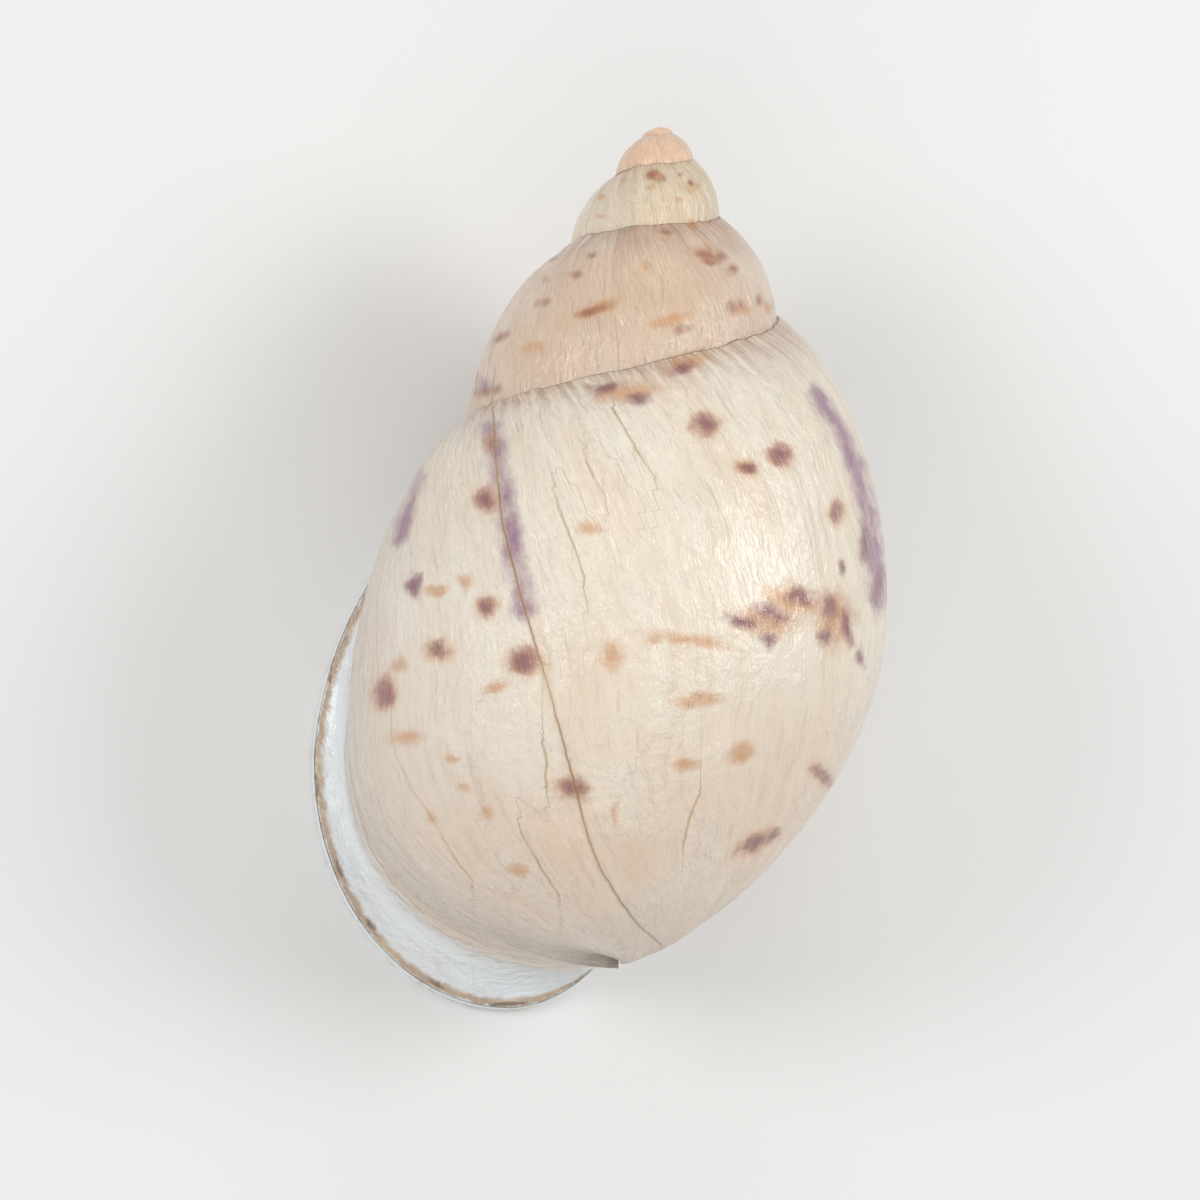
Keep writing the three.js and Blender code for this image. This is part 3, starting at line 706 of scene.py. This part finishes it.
def shell_material(look):
    """Cream shell with growth lines, spots, a seam band of stain and painted shade, painted shade near the
    lip, and a porcelain lip.
    """
    n = Nodes("glossy shell")
    growth, across = n.attribute("growth"), n.attribute("across")
    lip, age = n.attribute("lip"), n.attribute("age")
    position = n.add("ShaderNodeTexCoord").outputs["Object"]
    mottle = n.noise(position, 130.0, 3.0)
    ragged = n.math("SUBTRACT", n.noise(position, 900.0, 3.0, 0.65), 0.5)
    warped = n.math("ADD", growth, n.math("MULTIPLY", n.noise(position, 260.0, 2.0), 1.6))
    ribs = n.stretched(warped, across, 1.35, 0.14, 3.0, 0.6)
    striae = n.stretched(warped, across, 4.6, 0.35)
    crinkle = n.stretched(warped, across, 1.1, 0.75, 4.0, 0.62)
    near_lip = n.step(age, 0.945, 0.995, 0, 0.85)
    crack = n.step(n.math("ABSOLUTE", n.roughened("crack", ragged, 3.0)), 0.4, 1.9, 1.0, 0.0)
    rest_away = n.math("ABSOLUTE", n.roughened("rest_line", ragged, 3.5))
    rest_line = n.step(rest_away, 0.3, 1.4, 1.0, 0.0)

    body = ground_colour(n, look, age, across, near_lip, ribs, mottle)
    body = spotted(n, look, body, age, ribs, ragged, position)
    body = lined(n, body, age, across, mottle, crack, rest_away, rest_line)
    n.put(n.shader.inputs["Base Color"], n.colour(lip, body, lip_colour(n, look, across, ragged, position)))

    shoulder = n.step(across, 6, 22, 1.0, 0.45)
    rib_height = n.math("ADD", n.math("MULTIPLY", ribs, 1.5), n.math("MULTIPLY", striae, 0.35))
    rib_height = n.math("MULTIPLY", rib_height, n.math("MAXIMUM", shoulder, near_lip))
    relief = n.math("ADD", n.math("MULTIPLY", rib_height, n.step(lip, 0.0, 1.0, 1.3, 0.15)),
                    n.math("MULTIPLY", crinkle, n.step(mottle, 0.38, 0.6, 0.5, 1.6)))
    grooves = n.math("MULTIPLY", n.math("ADD", crack, rest_line), 0.2)
    relief = n.math("SUBTRACT", relief, grooves)
    bump = n.add("ShaderNodeBump", {"Height": relief, "Strength": 1.0, "Distance": 0.00026})
    n.put(n.shader.inputs["Normal"], bump.outputs[0])
    n.put(n.shader.inputs["Coat Normal"], bump.outputs[0])
    n.put(n.shader.inputs["Roughness"], n.step(mottle, 0.3, 0.7, 0.27, 0.38))
    n.shader.inputs["Specular IOR Level"].default_value = 0.5
    n.shader.inputs["Coat Weight"].default_value = 0.7
    n.shader.inputs["Coat Roughness"].default_value = 0.1
    return n.material


def plain_material(name, colour, roughness):
    """One colour and one roughness."""
    n = Nodes(name)
    n.shader.inputs["Base Color"].default_value = rgb(colour)
    n.shader.inputs["Roughness"].default_value = roughness
    return n.material


# Operators

class SNAIL_OT_shell(bpy.types.Operator):
    """Build the shell as one closed surface: whorls, flared lip, and the inside back up the last whorl"""

    bl_idname = "snail.shell"
    bl_label = "Shell"

    def execute(self, context):
        look = context.scene.snail_shell
        wall, callus, thick = look.wall / MM, look.callus / MM, look.lip_thickness / MM
        v, s, q = column_values()
        columns = len(q)

        early = np.linspace(FIRST_ROW, LAST_WHORL_START, SPIRE_ROWS, endpoint=False)
        late = np.linspace(LAST_WHORL_START, FLARE_START, LAST_ROWS)
        t = np.concatenate([early, late])[:, None]
        outside = outer_rows(t, v, s)
        end_growth = (
            outer_rows(np.array([[FLARE_START + FLARE_GROWTH / 2]]), v, s)
            - outer_rows(np.array([[FLARE_START - FLARE_GROWTH / 2]]), v, s)
        )[0]
        top_ring = lip_ring(q, 0, thick, -RING_SINK)
        shares = np.linspace(0, 1, FLARE_ROWS + 1)[1:]
        at_pillar = np.concatenate([ease(v, 0.8, 1), 1 - ease(s, 0, 0.25)])[:, None]
        end_growth *= 1 - at_pillar
        pull = np.where(np.arange(columns) < len(v), FLARE_PULL, INNER_FLARE_PULL)[:, None]
        pull = mix(pull, PILLAR_FLARE_PULL, at_pillar)
        flared = flare(outside[-1], end_growth, top_ring, pull, shares)

        angles = np.linspace(0, np.pi / 2, 7)[1:]
        rim = [
            lip_ring(
                q, RIM_BULGE * math.sin(2 * a), thick * (0.5 + 0.5 * math.cos(2 * a)),
                mix(-RING_SINK, -EDGE_SINK, a / angles[-1]),
            )
            for a in angles
        ]
        face = [
            lip_ring(q, -w, 0.02 + 0.10 * ease(w, 0.5, 1.3), over)
            for w, over in ((0.35, -0.1), (0.7, 0.04), (1.1, callus))
        ]
        inner_t = np.linspace(FLARE_START, FLARE_START - HOLLOW_LENGTH, INNER_ROWS)[:, None]
        inside = inner_rows(inner_t, v, s, wall, callus)
        inner_growth = (
            inner_rows(np.array([[FLARE_START + FLARE_GROWTH / 2]]), v, s, wall, callus)
            - inner_rows(np.array([[FLARE_START - FLARE_GROWTH / 2]]), v, s, wall, callus)
        )[0]
        back = np.linspace(1, 0, INNER_FLARE_ROWS + 1)[1:-1]
        inner_flared = off_belly(flare(inside[0], inner_growth, face[-1], pull, back), callus)
        rings = np.stack(rim + face)

        outer = np.concatenate([outside, flared])
        length = np.linalg.norm(np.diff(outer[:, len(v) // 2], axis=0), axis=-1)
        growth = np.concatenate([[0], np.cumsum(length)])[:, None] + np.zeros(columns)
        step_across = np.linalg.norm(np.diff(outer, axis=1, append=outer[:, :1]), axis=-1)
        across = np.cumsum(step_across, axis=1) - step_across
        normals = outward_normals(outer)
        centre = outer[:, :len(v)].mean(1, keepdims=True)
        normals *= np.sign(np.sum(normals * (outer - centre), -1).mean())

        near_seam = np.exp(-((across / PUCKER_REACH) ** 2)) * ease(growth, 20, 60)
        puckers = 0.5 + 0.5 * value_noise(growth / 1.25, across / 5, 11)
        waves = 0.5 + 0.5 * value_noise(growth / 3.4, across / 16, 12)
        dents = 0.5 + 0.5 * value_noise(growth / 5.5, across / 6.5, 13)
        t_all = np.concatenate([t[:, 0], np.full(FLARE_ROWS, FLARE_START)])[:, None]
        on_flare = np.concatenate([np.zeros(len(t)), shares])[:, None]
        near_lip = ease(t_all, 45, 90)
        folds = 0.5 + 0.5 * value_noise(growth / 1.0, across / 22, 15)
        x, y = in_picture(outer)
        _, _, toward = view_axes()
        facing = normals @ toward
        from_rest = np.where(facing > 0, line_distance((REST_LINE,), x, y), FAR)
        groove = np.exp(-((from_rest / 8) ** 2)) + 0.5 * ease(from_rest, -40, 0) * (1 - ease(from_rest, 0, 6))
        depth = (
            look.pucker_depth / MM * puckers * near_seam
            + WAVE_DEPTH * waves + DENT_DEPTH * dents + REST_GROOVE_DEPTH * groove
            + mix(FOLD_DEPTH, FOLD_DEPTH_NEAR_LIP, near_lip) * folds + LEAST_DEPTH
        ) * (1 - ease(on_flare, 0.55, 0.9)) * ease(growth, 0, 30)
        relief = depth[..., None] * normals
        relief[:, :len(v)] *= (1 - ease(v, 0.9, 0.98))[:, None]
        relief[:, len(v):] = 0
        outer = outer - relief

        grid = np.concatenate([outer, rings, inner_flared, inside])
        grid[..., 2] = np.maximum(grid[..., 2], 0.0)
        points, faces = closed_surface(grid)
        fill = lambda rows, value: np.full((rows, columns), float(value))
        after = len(rings) + len(inner_flared) + len(inside)
        to_edge = np.linalg.norm(outer - top_ring, axis=-1) + 0.25
        to_edge[:len(t)] = np.maximum(to_edge[:len(t)], 9)
        inner_edge = np.concatenate([
            fill(3, 0.1), fill(3, 0.2), fill(1, 0.5), fill(1, 0.9), fill(after - 8, 9),
        ])

        seen = ease(facing, -0.05, 0.06)
        hidden = 1 - ease(facing, -0.12, 0.02)
        wobble_x = x + 2.5 * value_noise(x / 14, y / 14, 21)
        wobble_y = y + 2.5 * value_noise(x / 14, y / 14, 22)

        def painted(spots, seed, count, low, high, bands=()):
            drawn = np.maximum(spot_field(spots, wobble_x, wobble_y), band_field(bands, wobble_x, wobble_y))
            shown = mix(-1, drawn, seen)
            strewn = scattered_field(growth, across, seed, count, low, high)
            return np.maximum(shown, mix(-1, strewn, hidden * (on_flare < 0.01)))

        lip_share = ease(on_flare, 0.30, 0.62) + 0 * growth
        pattern = {
            "growth": (growth, fill(after, 200)),
            "across": (across, np.tile(across[-1], (after, 1))),
            "age": ((t_all - t[0]) / (FLARE_START - t[0]) + 0 * growth, fill(after, 1)),
            "lip": (lip_share, fill(after, 1)),
            "edge": (to_edge, inner_edge),
            "dark": (painted(DARK_SPOTS, 31, 70, 0.7, 1.5), fill(after, -1)),
            "amber": (painted(AMBER_SPOTS, 32, 90, 0.9, 2.2), fill(after, -1)),
            "violet": (painted(VIOLET_SPOTS, 33, 30, 0.8, 2.6, VIOLET_BANDS), fill(after, -1)),
            "crack": (np.where(facing > 0, line_distance(CRACKS, x, y), FAR), fill(after, FAR)),
            "rest_line": (from_rest, fill(after, FAR)),
            "fleck": (mix(-1, spot_field(DARK_FLECKS_ON_LIP, x, y), seen), fill(after, -1)),
            # band under the seam, darkened in the shader: partly stain, partly painted shade of the crease
            # and puckers
            "seam_stain_and_shade": (near_seam * 0.8, fill(after, 0)),
        }
        attributes = {
            key: np.concatenate([a.reshape(-1), b.reshape(-1), [a[0, 0], b[-1, 0]]])
            for key, (a, b) in pattern.items()
        }
        shell = mesh_object("snail_shell", points, faces, attributes)
        shell.data.materials.append(shell_material(look))
        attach(shell, "root")
        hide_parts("shell")
        return {"FINISHED"}


class SNAIL_OT_apex(bpy.types.Operator):
    """Build the smooth dome that closes the first whorl"""

    bl_idname = "snail.apex"
    bl_label = "Apex"

    def execute(self, context):
        points, faces = closed_surface(dome(DOME_RADIUS, DOME_RISE, 14, 32))
        apex = mesh_object("apex_dome", points, faces, {})
        apex.data.materials.append(plain_material("apex shell", (0.78, 0.50, 0.33), 0.35))
        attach(apex, "root")
        return {"FINISHED"}


def area_light(name, watts, size, position):
    """Square soft light aimed at the shell."""
    light = bpy.data.lights.new(name, "AREA")
    light.energy, light.size = watts, size
    lamp = bpy.data.objects.new(name, light)
    lamp.location = position
    lamp.rotation_euler = (Vector(AIM * MM) - Vector(position)).to_track_quat("-Z", "Y").to_euler()
    bpy.context.scene.collection.objects.link(lamp)


class SNAIL_OT_stage(bpy.types.Operator):
    """Set the pale floor, the soft lights and the camera of the photograph"""

    bl_idname = "snail.stage"
    bl_label = "Stage"

    def execute(self, context):
        look = context.scene.snail_stage
        half = look.floor_size / 2
        corners = [(-half, -half, 0), (half, -half, 0), (half, half, 0), (-half, half, 0)]
        mesh = bpy.data.meshes.new("floor")
        mesh.from_pydata(corners, [], [(0, 1, 2, 3)])
        floor = bpy.data.objects.new("floor", mesh)
        floor.data.materials.append(plain_material("pale floor", look.floor_colour, 0.8))
        context.scene.collection.objects.link(floor)

        area_light("key light", look.key_power, 0.2, (0.31, 0.08, 0.32))
        area_light("fill light", look.fill_power, 0.2, (-0.36, 0.06, 0.30))
        area_light("top light", look.top_power, 0.22, (0.02, 0.42, 0.24))
        area_light("low light", look.low_power, 0.4, (-0.10, -0.36, 0.34))
        context.scene.view_settings.view_transform = "Standard"
        world = bpy.data.worlds.new("even light")
        world.use_nodes = True
        background = world.node_tree.nodes["Background"]
        background.inputs["Color"].default_value = (1, 1, 1, 1)
        background.inputs["Strength"].default_value = look.sky
        context.scene.world = world

        right, up, toward = (Vector(axis) for axis in view_axes())
        camera = bpy.data.objects.new("camera", bpy.data.cameras.new("camera"))
        camera.data.sensor_width = 36
        camera.data.lens = 36 * CAMERA_DISTANCE / (2 * PICTURE_MIDDLE * PIXEL)
        turned = Matrix((right, up, toward)).transposed().to_4x4()
        camera.matrix_world = Matrix.Translation((Vector(AIM) + toward * CAMERA_DISTANCE) * MM) @ turned
        camera.data.clip_start, camera.data.clip_end = 0.01, 20
        context.scene.collection.objects.link(camera)
        context.scene.camera = camera
        return {"FINISHED"}


class SNAIL_PT_panel(bpy.types.Panel):
    """Lists the pieces and their settings"""

    bl_label = "Snail Shell"
    bl_idname = "SNAIL_PT_panel"
    bl_space_type = "VIEW_3D"
    bl_region_type = "UI"
    bl_category = "Snail Shell"

    def draw(self, context):
        for operator in OPERATORS:
            self.layout.operator(operator.bl_idname)
        for settings in (context.scene.snail_shell, context.scene.snail_stage):
            for key in settings.bl_rna.properties.keys():
                if key not in ("rna_type", "name"):
                    self.layout.prop(settings, key)


OPERATORS = (SNAIL_OT_shell, SNAIL_OT_apex, SNAIL_OT_stage)
CLASSES = (ShellProperties, StageProperties, *OPERATORS, SNAIL_PT_panel)


def register():
    for cls in CLASSES:
        bpy.utils.register_class(cls)
    bpy.types.Scene.snail_shell = bpy.props.PointerProperty(type=ShellProperties)
    bpy.types.Scene.snail_stage = bpy.props.PointerProperty(type=StageProperties)


def unregister():
    del bpy.types.Scene.snail_stage
    del bpy.types.Scene.snail_shell
    for cls in reversed(CLASSES):
        bpy.utils.unregister_class(cls)


def main():
    register()
    bpy.ops.snail.shell()
    bpy.ops.snail.apex()
    bpy.ops.snail.stage()


if __name__ == "__main__":
    main()
